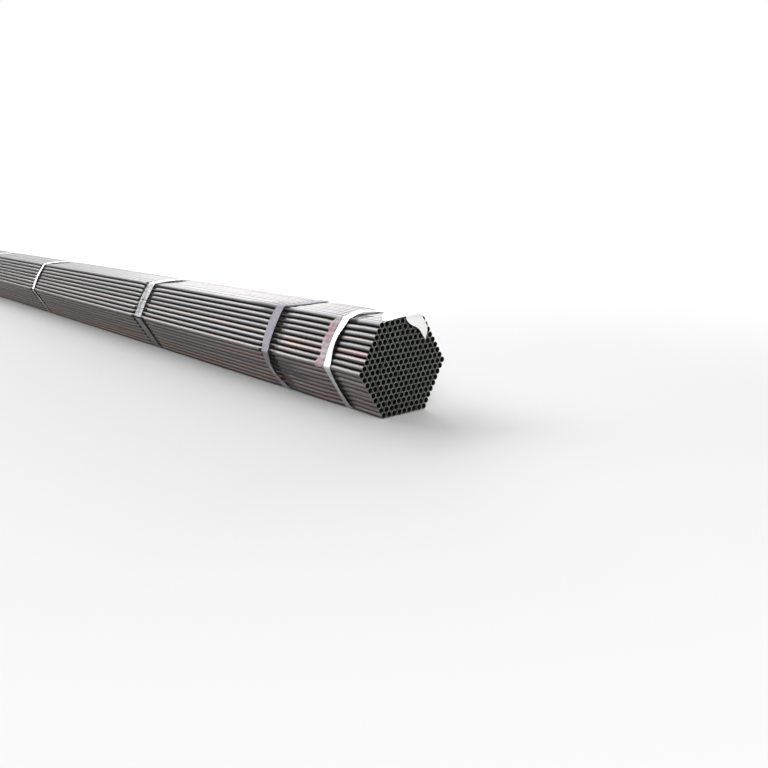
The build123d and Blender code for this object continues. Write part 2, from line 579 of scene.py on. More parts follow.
@dataclass(frozen=True)
class StrapSteelFinish(Finish):
    """Bright galvanised strapping with scuffs from tightening."""

    name: str = "strap_steel"
    bright: Colour = (0.80, 0.80, 0.82)
    dull: Colour = (0.56, 0.56, 0.60)
    stain: Colour = (0.36, 0.30, 0.25)
    soil: Colour = (0.115, 0.105, 0.10)
    weathered: Colour = (0.075, 0.074, 0.072)

    def inputs(self, graph: Graph, place: Value) -> dict[str, Feed]:
        """Lay out the nodes."""
        spangle = graph.noise(place, 230.0, 2.0, 0.5)
        broad = graph.noise(place, 24.0, 4.0, 0.6)
        scuffs = graph.noise(place * (900.0, 40.0, 40.0))
        crumples = graph.noise(place * (60.0, 110.0, 110.0), 1.0, 4.0).remap(0.38, 0.62, 0.72, 1.0)
        # Painted shade on what faces down, with soil; it also takes off the shine.
        soil = soil_and_underside_shade(graph, place, graph.attribute("band_soil"))
        colour = graph.layers(
            self.dull,
            (spangle.remap(0.3, 0.7, 0.6, 1.0) * broad.remap(0.3, 0.6, 0.5, 1.0), self.bright),
            (scuffs.remap(0.62, 0.78, 0.0, 0.5), self.dull),
            (rust_bloom(graph, place, 0.37, 0.32) * 0.5, self.stain),
            (graph.attribute("band_dull") * crumples, self.weathered),
            (soil, self.soil),
        )
        return {
            "Base Color": colour,
            "Metallic": soil.remap(0.0, 1.0, 0.7, 0.2),
            "Roughness": spangle.remap(0.2, 0.8, 0.36, 0.52),
            "Normal": graph.bump(scuffs + spangle * 0.4, 0.05 * MM),
        }


@dataclass(frozen=True)
class WebbingFinish(Finish):
    """Woven polyester webbing, greyish lilac, soiled from handling.

    The weave is laid out in shares of the width across and in metres along.
    """

    name: str = "webbing"
    warp: Colour = (0.42, 0.39, 0.46)
    weft: Colour = (0.30, 0.28, 0.34)
    fuzz: Colour = (0.60, 0.57, 0.64)
    soil: Colour = (0.15, 0.125, 0.125)
    warp_yarns: float = 26.0
    weft_pitch: float = 2.2 * MM

    def inputs(self, graph: Graph, place: Value) -> dict[str, Feed]:
        """Lay out the nodes."""
        surface = graph.value("UVMap", uv_map="surface")
        across = (surface.axis(0) * (self.warp_yarns * math.pi)).step("SINE")
        along = (surface.axis(1) * (math.pi / self.weft_pitch)).step("SINE")
        over = (across * along).remap(-0.3, 0.3)
        weave = across.step("ABSOLUTE") * over.remap(0.0, 1.0, 0.45, 1.0)
        fibres = graph.noise(place, 1400.0)
        colour = graph.layers(
            self.weft,
            (over, self.warp),
            (fibres.remap(0.3, 0.8, 0.0, 0.3), self.fuzz),
            (graph.noise(place, 19.0, 5.0, 0.65).remap(0.48, 0.72, 0.0, 0.65), self.soil),
            # Painted shade on what faces down, with soil.
            (soil_and_underside_shade(graph, place, 0.95), self.soil),
        )
        return {
            "Base Color": colour,
            "Roughness": weave.remap(0.0, 1.0, 0.95, 0.72),
            "Sheen Weight": 0.25,
            "Sheen Roughness": 0.5,
            "Normal": graph.bump(weave + fibres * 0.15, 0.4 * MM, 0.9),
        }


@dataclass(frozen=True)
class ThreadFinish(Finish):
    """Sewing thread on the lifting bands."""

    name: str = "sewing_thread"
    thread: Colour = (0.66, 0.63, 0.70)
    shade: Colour = (0.40, 0.38, 0.42)

    def inputs(self, graph: Graph, place: Value) -> dict[str, Feed]:
        """Lay out the nodes."""
        twist = graph.noise(place, 1600.0, 2.0)
        colour = graph.layers(self.thread, (twist.remap(0.3, 0.7, 0.0, 0.5), self.shade))
        return {"Base Color": colour, "Roughness": twist.remap(0.2, 0.8, 0.6, 0.8)}


@dataclass(frozen=True)
class LabelFinish(Finish):
    """Thin, creased label with faded pink patches and one darker spot."""

    name: str = "label_film"
    paper: Colour = (0.45, 0.375, 0.40)
    patch: Colour = (0.36, 0.12, 0.18)
    shade: Colour = (0.20, 0.145, 0.165)
    grime: Colour = (0.24, 0.19, 0.20)
    spot: tuple[float, float] = (0.42, 0.25)
    spot_size: tuple[float, float] = (0.26, 0.08)

    def inputs(self, graph: Graph, place: Value) -> dict[str, Feed]:
        """Lay out the nodes."""
        surface = graph.value("UVMap", uv_map="surface")
        across, down = surface.axis(0), surface.axis(1)
        fibres = graph.noise(place, 700.0)
        upper = down.remap(0.05, 0.2) * down.remap(0.62, 0.42)
        where = upper.step("MAXIMUM", down.remap(0.80, 0.92))
        blots = graph.noise(place * (34.0, 30.0, 30.0), 1.0, 5.0, 0.6).remap(0.36, 0.58)
        off_spot = (surface - (*self.spot, 0.0)).step("DIVIDE", (*self.spot_size, 1.0))
        faded = (blots * where).step("MAXIMUM", off_spot.length().remap(1.3, 0.2))
        colour = graph.layers(
            self.paper,
            (faded * 0.75, self.patch),
            # Painted shade on the label under and just beside the strap.
            (across.remap(0.62, 0.30) * 0.75, self.shade),
            (graph.noise(place, 60.0, 4.0, 0.65).remap(0.55, 0.8, 0.0, 0.6), self.grime),
        )
        return {
            "Base Color": colour,
            "Roughness": fibres.remap(0.2, 0.8, 0.42, 0.6),
            "Normal": graph.bump(fibres, 0.1 * MM, 0.6),
        }


@dataclass(frozen=True)
class TagFinish(Finish):
    """Plain white film with faint creases and a trace of grime."""

    name: str = "tag_film"
    film: Colour = (0.95, 0.95, 0.95)
    grime: Colour = (0.70, 0.68, 0.66)

    def inputs(self, graph: Graph, place: Value) -> dict[str, Feed]:
        """Lay out the nodes."""
        creases = graph.noise(place, 75.0, 4.0, 0.6)
        specks = graph.noise(place, 380.0, 3.0, 0.7)
        soiled = creases.remap(0.5, 0.75) * specks.remap(0.4, 0.7) * 0.5
        return {
            "Base Color": graph.layers(self.film, (soiled, self.grime)),
            "Roughness": creases.remap(0.3, 0.7, 0.38, 0.55),
            "Normal": graph.bump(creases, 0.6 * MM, 0.5),
        }


@dataclass(frozen=True)
class FloorFinish(Finish):
    """Pale floor that fades to plain white away from the bundle."""

    name: str = "studio_floor"
    pale: Colour = (0.80, 0.80, 0.80)
    fade_long: float = 3.6
    fade_wide: float = 1.1

    def inputs(self, graph: Graph, place: Value) -> dict[str, Feed]:
        """Give the plain values."""
        return {"Base Color": self.pale, "Roughness": 0.9, "Specular IOR Level": 0.1}

    def seen(self, graph: Graph, place: Value, surface: Value) -> Value:
        """Lay white over the far floor, where the camera and reflections see it."""
        away = (place * (1 / self.fade_long, 1 / self.fade_wide, 0.0)).length()
        share = graph.rays("Camera", "Glossy") * away.remap(1.0, 2.6)
        white = graph.value("Emission", {"Color": WHITE, "Strength": 1.0})
        return graph.value("MixShader", {0: share, 1: surface, 2: white})


# The pile


@dataclass(frozen=True)
class Slack:
    """How one strap has slipped off its straight way round, and how weathered it is.

    Slides run towards the far end and are widest in the middle of a side, like the lift. A tilt
    raises the edge toward the near end.
    """

    slide: float = 0.0
    top_slide: float = 0.0
    top_lift: float = 0.0
    side_tilt: float = 0.0
    low_tilt: float = 0.0
    # How much soil and painted shade it has on what faces down.
    soil: float = 1.0
    dull: float = 0.0


FIRST_STRAP = "near_end"
STRAPS = {
    FIRST_STRAP: Slack(10 * MM, 26 * MM, 7 * MM, math.radians(14), math.radians(12), soil=0.62),
    "near_pair_outer": Slack(9 * MM, -22 * MM, 7.5 * MM, dull=0.9),
    "near_pair_inner": Slack(13 * MM, -16 * MM, 5 * MM, dull=1.0),
    "middle": Slack(21 * MM, -18 * MM, 7.5 * MM),
    "far_pair_inner": Slack(dull=1.0),
    "far_pair_outer": Slack(),
    "far_end": Slack(8 * MM),
}
SLIPPED_BAND = "near"
BAND_PLACES = (SLIPPED_BAND, "far")


def middle_of(node: str) -> Vector:
    """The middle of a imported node's box."""
    low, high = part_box(node)
    return (low + high) / 2


@dataclass(frozen=True)
class Pipe:
    """One pipe's place in the pile, from the pile's middle. Row 0 is the middle one."""

    row: int
    y: float
    z: float
    in_outer_ring: bool
    leftmost: bool


@dataclass
class Pile:
    """Sizes and place of the stacked pipes."""

    pipe_radius: float = 9.5 * MM
    wall: float = 1.5 * MM
    pitch: float = 19.2 * MM
    per_side: int = 9
    swell: float = 3.6 * MM
    swell_span: float = 58 * MM
    band_half_width: float = 17 * MM
    crown: float = 5.0 * MM
    crown_y: float = 8 * MM
    crown_spread: float = 42 * MM
    crown_length: float = 148 * MM
    station_step: float = 250 * MM
    least_station_step: float = 9 * MM
    near_x: float = field(init=False)
    far_x: float = field(init=False)
    middle_z: float = field(init=False)
    band_places: Array = field(init=False)

    def __post_init__(self) -> None:
        """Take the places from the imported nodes."""
        low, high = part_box(f"pipe_row_{self.per_side:02d}")
        self.far_x, self.near_x = low.x, high.x
        self.middle_z = (low.z + high.z) / 2
        nodes = [f"strap_{place}" for place in STRAPS]
        nodes += [f"lifting_band_{place}" for place in BAND_PLACES]
        self.band_places = np.sort([middle_of(node).x for node in nodes])

    @property
    def reach(self) -> int:
        """Steps from the middle pipe to the outer ring."""
        return self.per_side - 1

    @property
    def side_length(self) -> float:
        """Length of one flat side, from corner pipe to corner pipe."""
        return self.reach * self.pitch

    @property
    def top(self) -> float:
        """Height of the top row above the middle one."""
        return self.side_length * math.sin(HEX_TURN)

    def pipes(self, row: int) -> list[Pipe]:
        """The pipes of a row, from the left."""
        first = -self.reach - min(row, 0)
        last = self.reach - max(row, 0)
        found = []
        for column in range(first, last + 1):
            ring = max(abs(column), abs(row), abs(column + row))
            y, z = (column + row / 2) * self.pitch, row * self.top / self.reach
            found.append(Pipe(row, y, z, ring == self.reach, column == first))
        return found

    def swelling(self, x: Array) -> Array:
        """How far the outer ring stands out at each x, from zero under the bands."""
        away = np.abs(x[..., None] - self.band_places).min(axis=-1) - self.band_half_width
        return self.swell * (1 - np.exp(-((np.maximum(away, 0) / self.swell_span) ** 2)))

    def heave(self, x: Array, y: Array | float, z: float) -> Array:
        """How far the pipes above the middle have sprung up at the near end, beyond the first strap.

        Args:
            x: where along the pipes.
            y: places across, from the pile's middle.
            z: height from the pile's middle.

        Returns:
            The rise at each place.
        """
        toward_end = eased((x - self.near_x + self.crown_length) / self.crown_length)
        spread = np.exp(-(((y - self.crown_y) / self.crown_spread) ** 2))
        return self.crown * max(0.0, z / self.top) ** 3 * spread * toward_end

    def top_rise(self, x: Array, y: Array) -> Array:
        """How far the top pipes stand above their crowns under the bands, at places of one shape."""
        return self.swelling(x) * self.top / self.side_length + self.heave(x, y, self.top)

    def stations(self) -> Array:
        """Places along an outer pipe, close together beside the bands and far apart between."""
        beside = np.array([0, 13, 26, 38, 52, 72, 100, 140]) * MM
        beside_bands = self.band_places[:, None] + np.append(beside, -beside[1:])
        between = np.arange(self.far_x, self.near_x, self.station_step)
        marks = np.sort([self.near_x, self.far_x, *beside_bands.ravel(), *between])
        marks = marks[(marks >= self.far_x) & (marks <= self.near_x)]
        return marks[np.insert(np.diff(marks) > self.least_station_step, 0, True)]

    def depth(self, places: Array) -> Array:
        """How far places in (y, z) lie inside the flat sides that touch the outer pipes."""
        outward = unit(np.radians([side.value for side in Side]))
        apothem = self.side_length * math.cos(HEX_TURN / 2)
        return apothem + self.pipe_radius - (places @ outward.T).max(axis=-1)


# Marks are placed by their distance from the near end, and some begin before it.
PAST_END = -0.1


@dataclass(frozen=True)
class StainAndPaintedLight:
    """A stretch of the leftmost pipe of a row, with stains and painted light, from one distance to another.

    Row 0 is the ridge, with the upper side above it. Warmth runs to tan, pink to rose, and grime darkens
    to black. Paleness above zero lightens and below zero darkens; on the lower rows near the end it is
    painted highlight and painted shade.
    """

    row: int
    start: float
    end: float
    warmth: float = 0.0
    pale: float = 0.0
    pink: float = 0.0
    grime: float = 0.0


STAINS_AND_PAINTED_LIGHT = (
    StainAndPaintedLight(3, PAST_END, 0.17, warmth=0.1, pink=0.75, pale=-0.05),
    StainAndPaintedLight(3, 0.17, 0.30, pink=0.55, pale=0.2),
    StainAndPaintedLight(3, 0.30, 0.39, pink=0.9, pale=-0.35),
    StainAndPaintedLight(3, 0.39, 0.47, warmth=0.75, pale=0.4),
    StainAndPaintedLight(2, PAST_END, 0.17, pink=0.35, pale=0.55),
    StainAndPaintedLight(2, 0.17, 0.34, warmth=0.1, pink=0.5, pale=0.5),
    StainAndPaintedLight(2, 0.34, 0.46, warmth=1.0, pale=0.5),
    StainAndPaintedLight(5, PAST_END, 0.17, warmth=0.25, pale=0.5),
    StainAndPaintedLight(1, 0.25, 0.50, pink=0.15),
    StainAndPaintedLight(4, 0.17, 0.60, warmth=-0.1, pale=0.15),
    # These stretches are darkened to black, with the sheen taken off, through their grime value.
    StainAndPaintedLight(8, 0.53, 0.70, pale=-0.3, grime=0.5),
    StainAndPaintedLight(7, 0.53, 0.66, pale=-0.3, grime=0.45),
    StainAndPaintedLight(6, 0.53, 0.60, pale=-0.2, grime=0.3),
    # Near the end, the paleness of rows -2, -4 and -8 is a painted highlight on their crowns, and the
    # darker rows between are painted shade.
    StainAndPaintedLight(-1, PAST_END, 0.17, warmth=0.35, pale=-0.2),
    StainAndPaintedLight(-2, PAST_END, 0.38, warmth=0.5, pale=1.0),
    StainAndPaintedLight(-3, PAST_END, 0.36, warmth=0.3, pink=0.15, pale=-0.4),
    StainAndPaintedLight(-4, PAST_END, 0.33, warmth=0.25, pink=0.45, pale=1.0),
    StainAndPaintedLight(-5, PAST_END, 0.33, warmth=0.3, pink=0.2, pale=-0.4),
    StainAndPaintedLight(-6, PAST_END, 0.25, warmth=0.5, pale=-0.2),
    StainAndPaintedLight(-7, PAST_END, 0.20, warmth=0.5, pale=-0.3),
    StainAndPaintedLight(-8, PAST_END, 0.30, warmth=0.5, pale=0.8),
    # These stretches are darkened to black, with the sheen taken off, through their grime value.
    StainAndPaintedLight(-1, 0.30, 0.51, pink=0.2, grime=0.25),
    StainAndPaintedLight(-2, 0.38, 0.50, pink=0.3, grime=0.5),
    StainAndPaintedLight(-3, 0.36, 0.50, pink=0.3, grime=0.55),
    StainAndPaintedLight(-4, 0.34, 0.49, pink=0.2, grime=0.5),
    StainAndPaintedLight(-5, 0.33, 0.46, pink=0.3, grime=0.35),
    StainAndPaintedLight(-6, 0.25, 0.34, pink=0.8),
    StainAndPaintedLight(-7, 0.20, 0.32, pink=0.7),
    StainAndPaintedLight(-8, 0.30, 0.62, grime=0.35),
    StainAndPaintedLight(-2, 0.52, 0.80, pink=0.75),
    StainAndPaintedLight(-3, 0.55, 0.75, pink=0.6),
    StainAndPaintedLight(4, 0.60, 1.50, warmth=-0.4, pale=-0.15),
)


@dataclass(frozen=True)
class PaintedShadow:
    """Painted shadow beside a band, and under a band's raised top run, from one distance to another.

    It lies on the flat sides that are named, and on the top only from the left ridge to a place.
    """

    start: float
    end: float
    strength: float
    upper_side: bool = False
    lower_side: bool = False
    top_to: float | None = None

    def marks(self, pipe: Pipe, top_row: int) -> bool:
        """Whether it lies on a pipe, given the number of the top row."""
        on_side = pipe.leftmost and (self.upper_side if pipe.row >= 0 else self.lower_side)
        return on_side or (self.top_to is not None and pipe.row == top_row and pipe.y < self.top_to)


# Painted shadows beside the bands and in the gaps under their raised top runs.
PAINTED_SHADOWS = (
    PaintedShadow(0.147, 0.175, 1.0, upper_side=True),
    PaintedShadow(0.135, 0.150, 0.8, lower_side=True),
    PaintedShadow(1.545, 1.572, 0.9, lower_side=True),
    PaintedShadow(0.455, 0.520, 0.62, upper_side=True, lower_side=True),
    PaintedShadow(0.108, 0.180, 1.0, top_to=0.0),
    PaintedShadow(0.485, 0.530, 0.9, top_to=0.03),
    PaintedShadow(0.560, 0.630, 0.5, top_to=-0.03),
    PaintedShadow(1.512, 1.592, 0.95, top_to=0.03),
    PaintedShadow(3.075, 3.150, 0.8, top_to=0.03),
)


def settle(piece: Piece, slot: str, *nodes: str) -> Piece:
    """Let a piece ride on the bundle, name its slot and the nodes it stands for, and return it."""
    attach(piece, "root")
    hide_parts(*nodes)
    log.info("%s: %d faces, slot %s, for %s", piece.name, len(piece.data.polygons), slot, nodes)
    return piece


@dataclass
class PipeRows:
    """The pipes, as round tubes with cut ends, one object for each row."""

    pile: Pile
    outer_segments: int = 32
    inner_segments: int = 24
    inner_stations: int = 9
    chamfer: float = 0.25 * MM
    bore_chamfer: float = 0.15 * MM
    bore_stations: tuple[float, ...] = (120 * MM, 600 * MM)
    end_stagger: float = 0.9 * MM
    most_stagger: float = 2.5 * MM
    most_oval: float = 0.008
    bow: float = 0.55 * MM
    underside: float = 0.45
    mark_edge: float = 45 * MM
    # Where the painted shade on the lower flanks of the upper sides begins, how far it spreads and how
    # strong it is.
    flank_top: float = 0.30
    flank_span: float = 0.55
    flank_shade: float = 0.30
    seed: int = 1927

    def path(self, pipe: Pipe, x: Array, draw: random.Random) -> Array:
        """The centre line of one pipe, with the pile's swelling and its own slight bow.

        Args:
            pipe: the pipe.
            x: where along its length.
            draw: the source of chance.

        Returns:
            Rows of (y, z) in the part's frame, one for each x.
        """
        radius = math.hypot(pipe.y, pipe.z) or 1.0
        out = self.pile.swelling(x) * radius / self.pile.side_length
        phase, wave, lift = draw.uniform(0, math.tau), draw.uniform(1.2, 2.6), draw.uniform(-0.4, 1.0)
        if pipe.in_outer_ring:
            held = self.pile.swelling(x) / self.pile.swell
            out = out + self.bow * held * (lift + 0.5 * np.sin(x * wave + phase))
        rise = out * pipe.z / radius * (1.0 if pipe.z >= 0 else self.underside)
        rise = rise + self.pile.heave(x, pipe.y, pipe.z)
        return np.stack([pipe.y + out * pipe.y / radius, self.pile.middle_z + pipe.z + rise], axis=-1)

    def traits(self, pipe: Pipe, draw: random.Random) -> dict[str, float]:
        """How one pipe differs from the rest. The lower left ones are warmer and rustier."""
        low_left = max(0.0, -(pipe.z + 0.3 * pipe.y) / self.pile.side_length)
        return {
            "pipe_seed": draw.random(),
            "pipe_pale": draw.gauss(0.0, 0.16),
            "pipe_warmth": max(-1.0, min(1.0, draw.gauss(0.02 + 0.45 * low_left, 0.24))),
            "pipe_rust": max(0.0, draw.gauss(0.08, 0.12)) + 0.16 * low_left,
            "pipe_pink": 0.12 * low_left,
            "pipe_grime": 0.0,
        }

    def painted_valley_shade(self, pipe: Pipe, skin: Array) -> Array:
        """Painted shade at each place round a pipe, darkest where it lies sheltered deep between pipes.

        Args:
            pipe: the pipe.
            skin: unit vectors from its middle to each place, in (y, z).

        Returns:
            Zero on the crowns and one deep between pipes, with more painted shade on the lower flanks of
            the upper sides.
        """
        radius = self.pile.pipe_radius
        sunk = self.pile.depth(np.array([pipe.y, pipe.z]) + radius * skin) / (2 * radius)
        lower_flank = eased((self.flank_top - skin[:, 1]) / self.flank_span) if pipe.row > 0 else 0.0
        return np.clip(sunk + self.flank_shade * lower_flank, 0, 1)

    def with_stains_and_painted_light(self, pipe: Pipe, x: Array, traits: dict[str, float]) -> dict[str, Array]:
        """Spread a pipe's traits along it, with the stains and painted light of its own stretches and the
        painted shadows beside the bands.

        Args:
            pipe: the pipe.
            x: where along its length.
            traits: its traits where it has no stain.

        Returns:
            Each trait at each x.
        """
        spread = {name: np.full(len(x), value) for name, value in traits.items()}
        from_end = self.pile.near_x - x
        for stain in STAINS_AND_PAINTED_LIGHT:
            if pipe.leftmost and pipe.row == stain.row:
                begun, left = from_end - stain.start, stain.end - from_end
                share = eased(begun / self.mark_edge) * eased(left / self.mark_edge)
                for trait in ("warmth", "pale", "pink", "grime"):
                    old = spread[f"pipe_{trait}"]
                    spread[f"pipe_{trait}"] = old + share * (getattr(stain, trait) - old)
        # The painted shadows beside the bands go into pipe_grime.
        for painted_shadow in PAINTED_SHADOWS:
            if painted_shadow.marks(pipe, self.pile.reach):
                inside = (from_end > painted_shadow.start) & (from_end < painted_shadow.end)
                spread["pipe_grime"] = np.maximum(spread["pipe_grime"], painted_shadow.strength * inside)
        return spread

    def add_pipe(self, parts: MeshParts, pipe: Pipe, draw: random.Random) -> None:
        """Add one pipe to a row's mesh: down its outside, over the near rim, back up its bore."""
        pile = self.pile
        segments = self.outer_segments if pipe.in_outer_ring else self.inner_segments
        near, far = (
            end + max(-self.most_stagger, min(self.most_stagger, draw.gauss(0, self.end_stagger)))
            for end in (pile.near_x, pile.far_x)
        )
        outside = pile.pipe_radius
        inside = outside - pile.wall
        between = pile.stations() if pipe.in_outer_ring else np.linspace(far, near, self.inner_stations)
        body = np.concatenate([[far + self.chamfer], between[1:-1], [near - self.chamfer]])
        into = np.array([self.bore_chamfer, *self.bore_stations])
        bore = np.concatenate([near - into, far + into[::-1]])
        rim = [outside - self.chamfer, inside + self.bore_chamfer]
        x = np.concatenate([body, [near, near], bore, [far, far]])
        radius = np.concatenate([np.full(len(body), outside), rim, np.full(len(bore), inside), rim[::-1]])
        line = self.path(pipe, x, draw)
        oval, turned = draw.uniform(0, self.most_oval), draw.uniform(0, math.tau)
        angle = np.arange(segments) / segments * math.tau
        skin = unit(angle)
        reach = radius[:, None] * (1 + oval * np.cos(2 * (angle - turned)))
        flat = line[:, None] + reach[..., None] * skin
        points = np.insert(flat, 0, x[:, None], axis=-1).reshape(-1, 3)
        kinds = np.full(len(x), PipeSkin.CUT_END.value)
        kinds[: len(body) - 1] = PipeSkin.OUTSIDE.value
        kinds[len(body) + 2 : len(body) + 1 + len(bore)] = PipeSkin.BORE.value
        uvs = grid_uvs(np.linspace(0, 1, segments + 1) + draw.random(), np.append(x, x[0]))
        quads = grid_quads(len(x), segments, closed_rows=True, closed_columns=True)
        with_stains_and_painted_light = self.with_stains_and_painted_light(pipe, x, self.traits(pipe, draw))
        traits = {name: np.repeat(value, segments) for name, value in with_stains_and_painted_light.items()}
        traits["pipe_painted_shade"] = np.tile(self.painted_valley_shade(pipe, skin), len(x))
        parts.add(points, quads, np.repeat(kinds, segments), uvs, **traits)

    def build(self, materials: Sequence[Material]) -> list[Piece]:
        """Make every row, from the bottom, with the finishes in the order of PipeSkin."""
        draw = random.Random(self.seed)
        rows = []
        for number, row in enumerate(range(-self.pile.reach, self.pile.reach + 1), 1):
            parts = MeshParts()
            for pipe in self.pile.pipes(row):
                self.add_pipe(parts, pipe, draw)
            piece = parts.build(f"pipes_{number:02d}", materials)
            rows.append(settle(piece, "pipe_steel", f"pipe_row_{number:02d}"))
        return rows


# Bands


@dataclass
class HullPath:
    """The way round the outside of the pile, counted in metres from the middle of a side.

    A distance here is always one from the corner pipes' centres.
    """

    pile: Pile
    start: Side = Side.UPPER_RIGHT
    arc_steps: int = 10
    crown_steps: int = 6
    least_step: float = 0.4 * MM
    bend_length: float = 22 * MM

    def step(self, distance: float) -> float:
        """Length of one side and one corner of the way."""
        return self.pile.side_length + HEX_TURN * distance

    def middle_of_side(self, side: Side, distance: float) -> float:
        """How far round the middle of a side is."""
        return (side.value - self.start.value) / 60 % 6 * self.step(distance)

    def points(self, x: Array, travelled: Array, distance: float, out: Array) -> Array:
        """Points beside the way round.

        Args:
            x: where each one is along the pipes, in one row for each place on the way.
            travelled: those places, from the middle of the first side to the left over the top.
            distance: the distance that they are counted at.
            out: each point's own distance.

        Returns:
            Rows by columns by three, in the part's frame.
        """
        side_length = self.pile.side_length
        along = (travelled + side_length / 2) % (6 * self.step(distance))
        sides = along // self.step(distance)
        rest = (along - sides * self.step(distance))[:, None]
        facing = (math.radians(self.start.value) + HEX_TURN * sides)[:, None]
        base = side_length * unit(facing - HEX_TURN / 2)
        base = base + unit(facing + math.pi / 2) * np.minimum(rest, side_length)[..., None]
        normal = unit(facing + np.maximum(rest - side_length, 0) / distance)
        flat = base + normal * out[..., None]
        return np.insert(flat, 0, x, axis=-1) + np.array([0, 0, self.pile.middle_z])

    def stations(self, start: float, end: float, distance: float) -> Array:
        """Places from start to end, close together on corners and a few to each pipe elsewhere."""
        straight = np.linspace(0, self.pile.side_length, self.pile.reach * self.crown_steps + 1)[:-1]
        bend = self.pile.side_length + np.linspace(0, HEX_TURN * distance, self.arc_steps + 1)[:-1]
        one_side = np.concatenate([straight, bend]) - self.pile.side_length / 2
        step = self.step(distance)
        turns = np.arange(math.floor(start / step) - 1, math.ceil(end / step) + 2)
        every = (one_side + turns[:, None] * step).ravel()
        inside = every[(every > start + self.least_step) & (every < end - self.least_step)]
        return np.concatenate([[start], inside, [end]])

    def bend_share(self, travelled: Array, distance: float) -> Array:
        """How near places are to a corner, from 0 on a flat side to 1 on the corner."""
        step = self.step(distance)
        past = (travelled + step / 2) % step
        return 1 - eased(np.minimum(past, step - past) / self.bend_length)


@dataclass
class Band:
    """A flat band with eased edges once round the pile, closed by a lap."""

    hull: HullPath
    width: float
    thickness: float
    clearance: float
    lap: float
    ramp: float
    layer_gap: float
    edge: float
    face_points: int

    @property
    def nominal(self) -> float:
        """Distance of the band's inner face."""
        return self.hull.pile.pipe_radius + self.clearance

    @property
    def round_once(self) -> float:
        """Length of the band's way once round."""
        return 6 * self.hull.step(self.nominal)

    def profile(self) -> Array:
        """Closed outline as (along the pipes, outward), the outer face first, in one turn."""
        half = self.width / 2
        top = np.linspace(-half + self.edge, half - self.edge, self.face_points)
        outer = np.stack([top, np.full(self.face_points, self.thickness)], -1)
        right = np.array([[half, self.thickness - self.edge], [half, self.edge]])
        inner = (outer - [0, self.thickness])[::-1]
        return np.concatenate([outer, right, inner, right[::-1] * [-1, 1]])

    def course(self, shift: float = 0.0) -> tuple[Array, Array, Array]:
        """The band's way round, with its lap at a shift up the first side.

        Returns:
            Places along it, how far each is past the lap's middle, and how far it has climbed.
        """
        start, end = shift - self.lap / 2, shift + self.round_once + self.lap / 2
        travelled = self.hull.stations(start, end, self.nominal)
        past = travelled - (shift + self.round_once)
        climb = eased((past + self.lap / 2 + self.ramp) / self.ramp) * (self.thickness + self.layer_gap)
        return travelled, past, climb

    def ribbon(
        self,
        travelled: Array,
        distance: Array,
        centre_x: Array,
        scale: Array | float = 1.0,
        tilt: Array | float = 0.0,
        soil: float = 1.0,
        dull: float = 0.0,
    ) -> MeshParts:
        """Lay the band round the pile.

        Args:
            travelled: where each cross-section stands.
            distance: the distance of the band's inner face there.
            centre_x: the middle of each cross-section along the pipes.
            scale: its share of the width.
            tilt: how far it is tilted about its edge toward the far end, in radians.
            soil: how much soil and painted shade it has on what faces down.
            dull: how far its shine has gone.

        Returns:
            The mesh parts that it begins.
        """
        across, up = self.profile().T
        edge = across.min()
        width, lean = np.reshape(scale, (-1, 1)), np.reshape(tilt, (-1, 1))
        from_edge = (across - edge) * width
        out = distance[:, None] + up * np.cos(lean) + from_edge * np.sin(lean)
        x = centre_x[:, None] + edge * width + from_edge * np.cos(lean) - up * np.sin(lean)
        rows = self.hull.points(x, travelled, self.nominal, out)
        marks = {"band_soil": soil, "band_dull": dull}
        columns = len(across)
        quads = grid_quads(len(rows), columns, closed_columns=True)[:, ::-1]
        shares = np.append(across, across[0]) / (across.max() - edge) + 0.5
        parts = MeshParts()
        parts.add(rows.reshape(-1, 3), quads, 0, grid_uvs(shares, travelled)[:, ::-1], **marks)
        pairs = np.arange(columns // 2 - 1)
        cap = np.stack([pairs, pairs + 1, columns - 2 - pairs, columns - 1 - pairs], axis=-1)
        parts.add(rows[0], cap, **marks)
        parts.add(rows[-1], cap[:, ::-1], **marks)
        return parts


